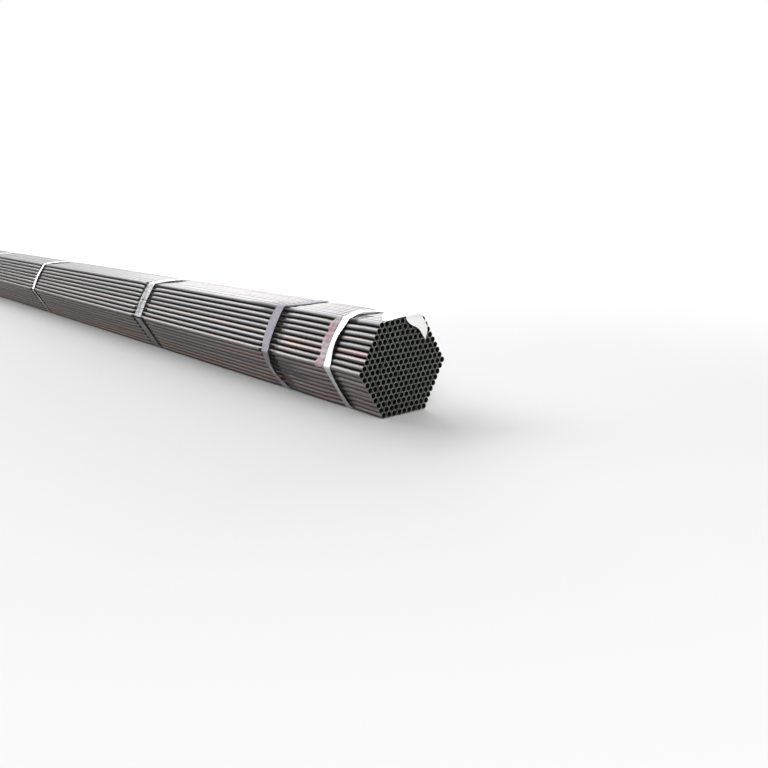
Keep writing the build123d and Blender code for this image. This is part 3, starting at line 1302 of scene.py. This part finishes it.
@dataclass
class SteelStraps(Band):
    """Flat steel straps with their overlapped ends."""

    width: float = 32 * MM
    thickness: float = 0.9 * MM
    clearance: float = 0.06 * MM
    lap: float = 76 * MM
    ramp: float = 26 * MM
    layer_gap: float = 0.05 * MM
    edge: float = 0.22 * MM
    face_points: int = 7
    free_end_lift: float = 1.2 * MM
    seal_lift: float = 0.55 * MM
    seal_length: float = 44 * MM
    wobble: float = 0.8 * MM
    bow_power: float = 1.3
    seed: int = 61

    def lap_shift(self, place: str) -> float:
        """How far up its side the strap's lap sits, read from its seal's node."""
        angle = math.radians(self.hull.start.value)
        along = Vector((0, -math.sin(angle), math.cos(angle)))
        return (middle_of(f"seal_{place}") - Vector((0, 0, self.hull.pile.middle_z))).dot(along)

    def bow(self, travelled: Array, distance: float, side: Side) -> Array:
        """How far a strap has slid or lifted on one side, as a share of the most, in its middle."""
        middle = self.hull.middle_of_side(side, distance)
        share = np.clip((travelled - middle) / self.hull.pile.side_length + 0.5, 0, 1)
        return np.sin(math.pi * share) ** self.bow_power

    def make(self, place: str, material: Material, draw: random.Random) -> Piece:
        """Make the strap of one place.

        Args:
            place: its place, as in its node's name.
            material: its finish.
            draw: the source of chance.

        Returns:
            The strap.
        """
        slack = STRAPS[place]
        shift = self.lap_shift(place)
        travelled, past, climb = self.course(shift)
        half_seal = self.seal_length / 2
        free = eased((past - half_seal) / (self.lap / 2 - half_seal)) ** 2
        on_side, on_top, on_low_side = (
            self.bow(travelled, self.nominal, side) for side in (Side.UPPER_LEFT, Side.TOP, Side.LOWER_LEFT)
        )
        distance = self.nominal + climb + self.free_end_lift * free + slack.top_lift * on_top
        for from_seal in (travelled - shift, past):
            distance = distance + self.seal_lift * np.exp(-((from_seal / self.seal_length) ** 4))
        turn = travelled / self.round_once * math.tau
        length = travelled[-1] - travelled[0]
        ends_meet = np.sin(math.pi * np.clip((travelled - travelled[0]) / length, 0, 1))
        swing = self.wobble * np.sin(turn + draw.uniform(0, math.tau)) * ends_meet
        centre_x = middle_of(f"strap_{place}").x + swing
        centre_x = centre_x - slack.slide * on_side - slack.top_slide * on_top
        tilt = slack.side_tilt * on_side + slack.low_tilt * on_low_side**0.5
        parts = self.ribbon(travelled, distance, centre_x, tilt=tilt, soil=slack.soil, dull=slack.dull)
        return settle(parts.build(f"steel_strap_{place}", [material]), "strap_steel", f"strap_{place}")

    def build(self, material: Material) -> list[Piece]:
        """Make all straps with one finish."""
        draw = random.Random(self.seed)
        return [self.make(place, material, draw) for place in STRAPS]


@dataclass
class CrimpedSeals:
    """Seals folded round both layers of a strap's lap and crimped at the edges."""

    straps: SteelStraps
    thickness: float = 0.8 * MM
    leg: float = 9 * MM
    side_gap: float = 0.2 * MM
    under_gap: float = 0.02 * MM
    over_gap: float = 0.12 * MM
    fold_share: float = 0.6
    crimp_depth: float = 2.4 * MM
    crimp_width: float = 7 * MM
    crimp_reach: float = 5 * MM
    crimp_dip: float = 0.7 * MM
    under_dip_share: float = 0.2
    leg_points: int = 4
    fold_points: int = 7
    top_points: int = 5
    steps: int = 45

    def profile(self) -> Array:
        """The seal's mid line across the strap, from one folded leg over the top to the other."""
        strap = self.straps
        low = -self.thickness / 2 - self.under_gap
        high = 2 * strap.thickness + self.over_gap + self.thickness / 2
        half = strap.width / 2 + self.side_gap + self.thickness / 2
        rise = (high - low) / 2
        bulge = rise * self.fold_share
        fold = unit(np.linspace(-math.pi / 2, math.pi / 2, self.fold_points)) * [bulge, rise]
        right = fold + [half - bulge, (high + low) / 2]
        leg = np.linspace(half - self.leg, half - bulge, self.leg_points + 1)[:-1]
        top = np.linspace(half - bulge, 0, self.top_points + 1)[1:]
        leg, top = (np.stack([y, np.full(len(y), z)], -1) for y, z in ((leg, low), (top, high)))
        one_half = np.concatenate([leg, right, top])
        return np.concatenate([one_half, one_half[-2::-1] * [-1, 1]])

    def make(self, place: str, material: Material) -> Piece:
        """Make the seal of one place, as in its strap's name, with its finish."""
        strap = self.straps
        across, up = self.profile().T
        along = np.linspace(-strap.seal_length / 2, strap.seal_length / 2, self.steps)
        squeeze = sum(
            np.exp(-(((along[:, None] - crimp) / (self.crimp_width / 2)) ** 4))
            for crimp in (-strap.seal_length / 4, strap.seal_length / 4)
        )
        edge = eased((np.abs(across) - strap.width / 2 + self.crimp_reach) / self.crimp_reach)
        x = middle_of(f"strap_{place}").x + across - np.sign(across) * self.crimp_depth * squeeze * edge
        dip = self.crimp_dip * squeeze * edge * np.where(up > strap.thickness, 1, self.under_dip_share)
        out = strap.nominal + strap.seal_lift + up - dip
        points = strap.hull.points(x, along + strap.lap_shift(place), strap.nominal, out)
        parts = MeshParts()
        parts.add_sheet(points, np.linspace(0, 1, len(across)), along)
        piece = parts.build(f"strap_seal_{place}", [material], self.thickness)
        return settle(piece, "seal_steel", f"seal_{place}")

    def build(self, material: Material) -> list[Piece]:
        """Make all seals with one finish."""
        return [self.make(place, material) for place in STRAPS]


@dataclass
class LiftingBands(Band):
    """Woven lifting bands, closed by a sewn lap.

    The near one has slipped and bunched on the left sides. Each knot is a place in millimetres
    down from the middle of the upper left side, and there the slip along the pipes and the share
    of the width.
    """

    width: float = 45 * MM
    thickness: float = 2.4 * MM
    clearance: float = 0.12 * MM
    lap: float = 150 * MM
    ramp: float = 40 * MM
    layer_gap: float = 0.1 * MM
    edge: float = 0.7 * MM
    face_points: int = 37
    narrowing: float = 0.13
    sag: float = 0.22 * MM
    sway: float = 1.0 * MM
    sway_waves: int = 6
    slips: Knots = (
        (-150.0, 0.0, 1.0),
        (-100.0, -12.0, 0.98),
        (-79.0, -20.0, 0.98),
        (-35.0, -27.0, 1.05),
        (10.0, -26.0, 1.03),
        (47.0, -21.0, 0.97),
        (82.0, -10.0, 0.86),
        (109.0, -23.0, 0.76),
        (147.0, -38.0, 0.50),
        (191.0, -40.0, 0.42),
        (240.0, -12.0, 0.80),
        (275.0, 0.0, 1.0),
    )
    rib: float = 0.12 * MM
    ribs: int = 6
    seam_inset: tuple[float, float] = (8 * MM, 5 * MM)
    seam_box: float = 34 * MM
    stitch_length: float = 3.6 * MM
    stitch_spacing: float = 1.3
    stitch_radius: float = 0.42 * MM
    stitch_taper: float = 0.9
    stitch_dip: float = 0.5 * MM
    stitch_grid: tuple[int, int] = (7, 6)
    seed: int = 88

    def profile(self) -> Array:
        """The same outline, with lengthwise ribs on the outer face."""
        outline = super().profile()
        face = outline[: self.face_points]
        face[:, 1] += np.cos(face[:, 0] / self.width * math.tau * self.ribs) * self.rib
        return outline

    def make(self, place: str, materials: Sequence[Material], draw: random.Random) -> Piece:
        """Make one lifting band with its stitches.

        Args:
            place: its place, as in its node's name.
            materials: the webbing and the thread.
            draw: the source of chance.

        Returns:
            The band.
        """
        hull, pile = self.hull, self.hull.pile
        travelled, _, climb = self.course()
        along = (travelled + pile.side_length / 2) % hull.step(self.nominal)
        dips = np.sin(math.pi * along / pile.pitch) ** 2 * (along <= pile.side_length)
        distance = self.nominal + climb - self.sag * dips
        turn = travelled / self.round_once * math.tau
        sways = [draw.uniform(-1, 1) for _ in range(self.sway_waves)]
        swing = sum(sway * np.sin((n // 2 + 1) * turn + n) for n, sway in enumerate(sways))
        centre = middle_of(f"lifting_band_{place}").x
        centre_x = centre + self.sway * swing
        scale = 1 - self.narrowing * hull.bend_share(travelled, self.nominal)
        if place == SLIPPED_BAND:
            side = (travelled - hull.middle_of_side(Side.UPPER_LEFT, self.nominal)) / MM
            slip, scale = smooth_track(self.slips, np.clip(side, self.slips[0][0], self.slips[-1][0])).T
            centre_x = centre_x + slip * MM
        parts = self.ribbon(travelled, distance, centre_x, scale)
        self.add_stitches(parts, centre)
        piece = parts.build(f"webbing_band_{place}", materials)
        return settle(piece, "band_webbing", f"lifting_band_{place}")

    def add_stitches(self, parts: MeshParts, centre: float) -> None:
        """Sew the lap with four lengthwise rows and a crossed box at each end."""
        long, wide = self.lap / 2 - self.seam_inset[0], self.width / 2 - self.seam_inset[1]
        lines = [((-long, w), (long, w)) for w in (-wide, -wide / 3, wide / 3, wide)]
        for far, near in ((-long, self.seam_box - long), (long, long - self.seam_box)):
            lines += [((far, -wide), (near, wide)), ((far, wide), (near, -wide))]
            lines += [((far, -wide), (far, wide)), ((near, -wide), (near, wide))]
        for first, last in np.array(lines):
            run = last - first
            count = max(1, round(math.hypot(*run) / (self.stitch_length * self.stitch_spacing)))
            for index in range(count):
                self.add_stitch(parts, centre, first + run * (index + 0.5) / count, math.atan2(*run[::-1]))

    def add_stitch(self, parts: MeshParts, centre: float, where: Array, heading: float) -> None:
        """Add one stitch, a short bead that dips into the webbing at both ends.

        Args:
            parts: the mesh that takes it.
            centre: the band's middle along the pipes.
            where: the stitch's middle, as (along the band, across it).
            heading: its angle from the band's length.
        """
        steps, around = self.stitch_grid
        distance = self.nominal + 2 * self.thickness + self.layer_gap
        share = np.linspace(-1, 1, steps)[:, None]
        radius = self.stitch_radius * np.sqrt(1 - share**2 * self.stitch_taper)
        ring = np.arange(around) / around * math.tau
        side, up = radius * np.cos(ring), radius * np.sin(ring) - self.stitch_dip * share**2
        forward = share * self.stitch_length / 2
        along = math.cos(heading) * forward - math.sin(heading) * side
        x = centre + where[1] + math.sin(heading) * forward + math.cos(heading) * side
        level, above = (
            self.hull.points(np.zeros((1, 1)), where[:1], distance, np.full((1, 1), out))[0, 0]
            for out in (distance, distance + 1)
        )
        outward = (above - level)[1:]
        tangent = np.array([-outward[1], outward[0]])
        flat = level[1:] + tangent * along[..., None] + outward * up[..., None]
        points = np.insert(flat, 0, x, axis=-1).reshape(-1, 3)
        parts.add(points, grid_quads(steps, around, closed_columns=True), 1, band_soil=1.0, band_dull=0.0)

    def build(self, materials: Sequence[Material]) -> list[Piece]:
        """Make both lifting bands."""
        draw = random.Random(self.seed)
        return [self.make(place, materials, draw) for place in BAND_PLACES]


# Films


@dataclass
class FilmLabel:
    """A thin creased label held under the first strap, on the upper left side and round its ridge.

    Each knot of its reach is a share of the way down and how far the film reaches beyond the strap.
    Each wave of its creases is its turn in each metre along the pipes and down, and its phase.
    """

    strap: SteelStraps
    tucked: float = 12 * MM
    top: float = -79 * MM
    bottom: float = 87 * MM
    reach: Knots = (
        (0.00, 26 * MM),
        (0.09, 40 * MM),
        (0.19, 47 * MM),
        (0.29, 44 * MM),
        (0.42, 50 * MM),
        (0.55, 48 * MM),
        (0.65, 43 * MM),
        (0.75, 38 * MM),
        (0.87, 41 * MM),
        (0.95, 46 * MM),
        (1.00, 40 * MM),
    )
    held: float = 10 * MM
    loose: float = 45 * MM
    lift: float = 0.3 * MM
    dip: float = 1.8 * MM
    crease: float = 1.2 * MM
    crease_waves: Knots = ((330.0, 120.0, 0.0), (-140.0, 260.0, 1.3))
    curl: float = 3.0 * MM
    thickness: float = 0.15 * MM
    columns: int = 44
    rows: int = 130

    def build(self, material: Material) -> Piece:
        """Make the label beside the strap that holds it, with its finish."""
        hull, pile = self.strap.hull, self.strap.hull.pile
        nominal = pile.pipe_radius
        share, across = np.linspace(0, 1, self.rows), np.linspace(0, 1, self.columns)
        down = self.top + (self.bottom - self.top) * share
        places = hull.middle_of_side(Side.UPPER_LEFT, nominal) + down
        edge = middle_of(f"strap_{FIRST_STRAP}").x - self.strap.width / 2
        x = edge + self.tucked - across * (self.tucked + smooth_track(self.reach, share))
        slide = STRAPS[FIRST_STRAP].slide * self.strap.bow(places, nominal, Side.UPPER_LEFT)
        free = np.clip((edge - x - slide[:, None]) / self.held, 0, 1)
        along = down[:, None]
        folds = sum(np.sin(x * a + along * b + phase) for a, b, phase in self.crease_waves) / 2
        on_side = np.abs(along) < pile.side_length / 2
        crowns = np.where(on_side, np.cos(math.pi * along / pile.pitch) ** 2, 1.0)
        loose = eased((edge - x) / self.loose)
        height = self.lift - self.dip * (1 - crowns) * free * (1 - 0.7 * loose)
        height = height + self.crease * free * (0.5 + 0.5 * folds) * crowns**0.3
        height = height + self.curl * loose**2 * (0.25 + 0.75 * np.sin(share[:, None] * 8.0 + 0.4) ** 2)
        parts = MeshParts()
        parts.add_sheet(hull.points(x, places, nominal, nominal + height), across, share)
        return settle(parts.build("label_strip", [material], self.thickness), "label_paper", "label")


@dataclass
class CurledTag:
    """A white film held by the first strap, spread over the top pipes to their ends.

    Its right part arches up and curls over the ends to a tip. Each edge is a row of knots: the
    share of its length, and then its place in millimetres, from the pipe ends, across, and from
    the crowns of the top pipes.
    """

    pile: Pile
    thickness: float = 0.3 * MM
    curl_grid: tuple[int, int] = (120, 24)
    spread_grid: tuple[int, int] = (90, 40)
    seat: float = 0.15 * MM
    clear: float = 0.85 * MM
    left_edge: Knots = (
        (0.00, -174.0, 43.0, 0.2),
        (0.15, -146.0, 42.0, 0.4),
        (0.40, -105.0, 10.0, 0.4),
        (0.80, -30.0, -52.0, 0.4),
        (1.00, 1.5, -69.0, 0.2),
    )
    inner_edge: Knots = (
        (0.00, -174.0, 44.0, 0.2),
        (0.30, -100.0, 40.0, 0.5),
        (0.46, -60.0, 35.0, 2.0),
        (0.60, -26.0, 29.0, 8.5),
        (0.66, -12.0, 23.0, 10.3),
        (0.71, -2.0, 16.0, 9.6),
        (0.76, 5.5, 9.5, 2.5),
        (0.84, 9.0, 24.5, -15.5),
        (0.91, 11.0, 53.0, -31.5),
        (0.96, 10.0, 67.5, -49.5),
        (1.00, 8.0, 81.7, -67.4),
    )
    outer_edge: Knots = (
        (0.00, -174.0, 72.0, 0.2),
        (0.30, -100.0, 76.0, 0.5),
        (0.46, -60.0, 80.0, 1.5),
        (0.60, -26.0, 80.0, 8.0),
        (0.66, -12.0, 76.0, 10.5),
        (0.71, -2.0, 72.0, 8.5),
        (0.76, 8.0, 73.0, 0.0),
        (0.84, 12.0, 82.0, -20.0),
        (0.91, 13.0, 85.6, -33.0),
        (0.96, 12.0, 85.4, -46.0),
        (1.00, 8.0, 82.4, -67.5),
    )
    fold: float = 0.71
    held_to: float = -150 * MM
    release: float = 25 * MM
    overhang: float = 2 * MM
    bulge: float = 3.0 * MM
    bulge_from: float = 0.74
    bulge_rise: float = 0.1
    bulge_fall: float = 0.08

    def between(self, first: Array, last: Array, columns: int) -> Array:
        """A grid of points between two edges, kept above the top pipes.

        Args:
            first: the points of one edge, in millimetres from the end and the crowns.
            last: the points of the other.
            columns: the number of points from edge to edge.

        Returns:
            Rows by columns by three, in the part's frame.
        """
        pile = self.pile
        across = np.linspace(0, 1, columns)[:, None]
        points = (first[:, None] * (1 - across) + last[:, None] * across) * MM
        free = eased((points[..., 0] - self.held_to) / self.release)
        on_pipes = points[..., 0] <= self.overhang
        points[..., 0] += pile.near_x
        rest = pile.top_rise(points[..., 0], points[..., 1]) + self.seat + self.clear * free
        points[..., 2] = np.where(on_pipes, np.maximum(points[..., 2], rest), points[..., 2])
        points[..., 2] += pile.middle_z + pile.top + pile.pipe_radius
        return points

    def build(self, material: Material) -> Piece:
        """Make the tag with its finish: the curled part, and the part that lies spread on the pipes."""
        parts = MeshParts()
        for (rows, columns), first_edge, last_edge, fold, bulge in (
            (self.curl_grid, self.inner_edge, self.outer_edge, 1.0, self.bulge),
            (self.spread_grid, self.left_edge, self.inner_edge, self.fold, 0.0),
        ):
            share, across = np.linspace(0, 1, rows), np.linspace(0, 1, columns)
            first, last = smooth_track(first_edge, share), smooth_track(last_edge, share * fold)
            points = self.between(first, last, columns)
            over_ends = eased((share - self.bulge_from) / self.bulge_rise)
            over_ends = over_ends * eased((1 - share) / self.bulge_fall)
            points[..., 0] += bulge * np.sin(math.pi * across) * over_ends[:, None]
            parts.add_sheet(points, across, share)
        return settle(parts.build("curled_strip", [material], self.thickness), "tag_plastic", "tag")


# The stage


@dataclass(frozen=True)
class Lamp:
    """A rectangular lamp, by where it hangs, its width and height, and its radiance, where 1 is white."""

    name: str
    place: tuple[float, float, float]
    size: tuple[float, float]
    radiance: float


@dataclass
class Studio:
    """The floor, the lamps, the surroundings and the camera."""

    floor_size: float = 80.0
    sky_strength: float = 0.22
    lit_x: float = 1.5
    lamps: tuple[Lamp, ...] = (
        Lamp("far_sky", (-12.0, 0.6, 9.2), (24.0, 7.2), 5.8),
        Lamp("low_sky", (-13.0, 0.6, 4.9), (24.0, 2.6), 2.0),
        Lamp("back_glow", (-6.0, 8.5, 2.3), (12.0, 4.0), 8.0),
        Lamp("fill", (7.5, -2.5, 4.0), (5.0, 4.0), 4.2),
    )
    camera_place: tuple[float, float, float] = (4.7775, -1.5070, 0.6582)
    heading: float = 51.17
    down_tilt: float = 13.585
    roll: float = -1.34
    focal_pixels: float = 797.66
    sensor: float = 36.0

    def lay_floor(self) -> Piece:
        """Make the pale floor."""
        half = self.floor_size / 2
        corners = [(-half, -half, 0.0), (half, -half, 0.0), (half, half, 0.0), (-half, half, 0.0)]
        parts = MeshParts()
        parts.add(np.array(corners), np.array([[0, 1, 2, 3]]))
        floor = parts.build("studio_floor", [FloorFinish().build()])
        return floor

    def surround(self) -> None:
        """Light evenly from all round, with white seen by the camera, reflections and what is clear."""
        world = bpy.data.worlds.new("surroundings")
        bpy.context.scene.world = world
        world.use_nodes = True
        world.node_tree.nodes.clear()
        graph = Graph(world.node_tree)
        shown = graph.rays("Camera", "Glossy", "Transmission")
        soft, white = (
            graph.value("Background", {"Color": WHITE, "Strength": strength})
            for strength in (self.sky_strength, 1.0)
        )
        graph.node("OutputWorld", {"Surface": graph.value("MixShader", {0: shown, 1: soft, 2: white})})

    def hang_lamps(self, pile: Pile) -> None:
        """Hang every lamp, out of the camera's sight and turned to the near half of the bundle."""
        target = Vector((self.lit_x, 0, pile.middle_z))
        for lamp in self.lamps:
            light = bpy.data.lights.new(lamp.name, "AREA")
            light.shape = "RECTANGLE"
            light.size, light.size_y = lamp.size
            light.energy = lamp.radiance * math.pi * lamp.size[0] * lamp.size[1]
            hung = bpy.data.objects.new(lamp.name, light)
            hung.location = lamp.place
            hung.rotation_euler = (target - hung.location).to_track_quat("-Z", "Y").to_euler()
            hung.visible_camera = False
            bpy.context.scene.collection.objects.link(hung)

    def stand_camera(self) -> Piece:
        """Stand the camera where the photograph was taken from."""
        data = bpy.data.cameras.new("camera")
        data.sensor_width = self.sensor
        data.lens = self.focal_pixels / PHOTO_WIDTH * self.sensor
        camera = bpy.data.objects.new("camera", data)
        turn = Matrix.Rotation(math.radians(self.heading), 4, "Z")
        tilt = Matrix.Rotation(math.radians(90 - self.down_tilt), 4, "X")
        lean = Matrix.Rotation(math.radians(self.roll), 4, "Z")
        camera.matrix_world = Matrix.Translation(self.camera_place) @ turn @ tilt @ lean
        bpy.context.scene.collection.objects.link(camera)
        bpy.context.scene.camera = camera
        return camera


def main() -> None:
    """Build every piece in order and report each one."""
    logging.basicConfig(level=logging.INFO, format="%(name)s: %(message)s")
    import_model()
    bpy.context.scene.view_settings.view_transform = "Standard"
    studio = Studio()
    studio.stand_camera()
    studio.lay_floor()
    studio.surround()
    pile = Pile()
    studio.hang_lamps(pile)
    hull = HullPath(pile)
    PipeRows(pile).build([PipeSteelFinish().build(), CutEndFinish().build(), BoreFinish().build()])
    straps = SteelStraps(hull)
    straps.build(StrapSteelFinish().build())
    seal_finish = StrapSteelFinish("seal_steel", bright=(0.68, 0.68, 0.70), dull=(0.45, 0.45, 0.48))
    CrimpedSeals(straps).build(seal_finish.build())
    LiftingBands(hull).build([WebbingFinish().build(), ThreadFinish().build()])
    FilmLabel(straps).build(LabelFinish().build())
    CurledTag(pile).build(TagFinish().build())


if __name__ == "__main__":
    main()
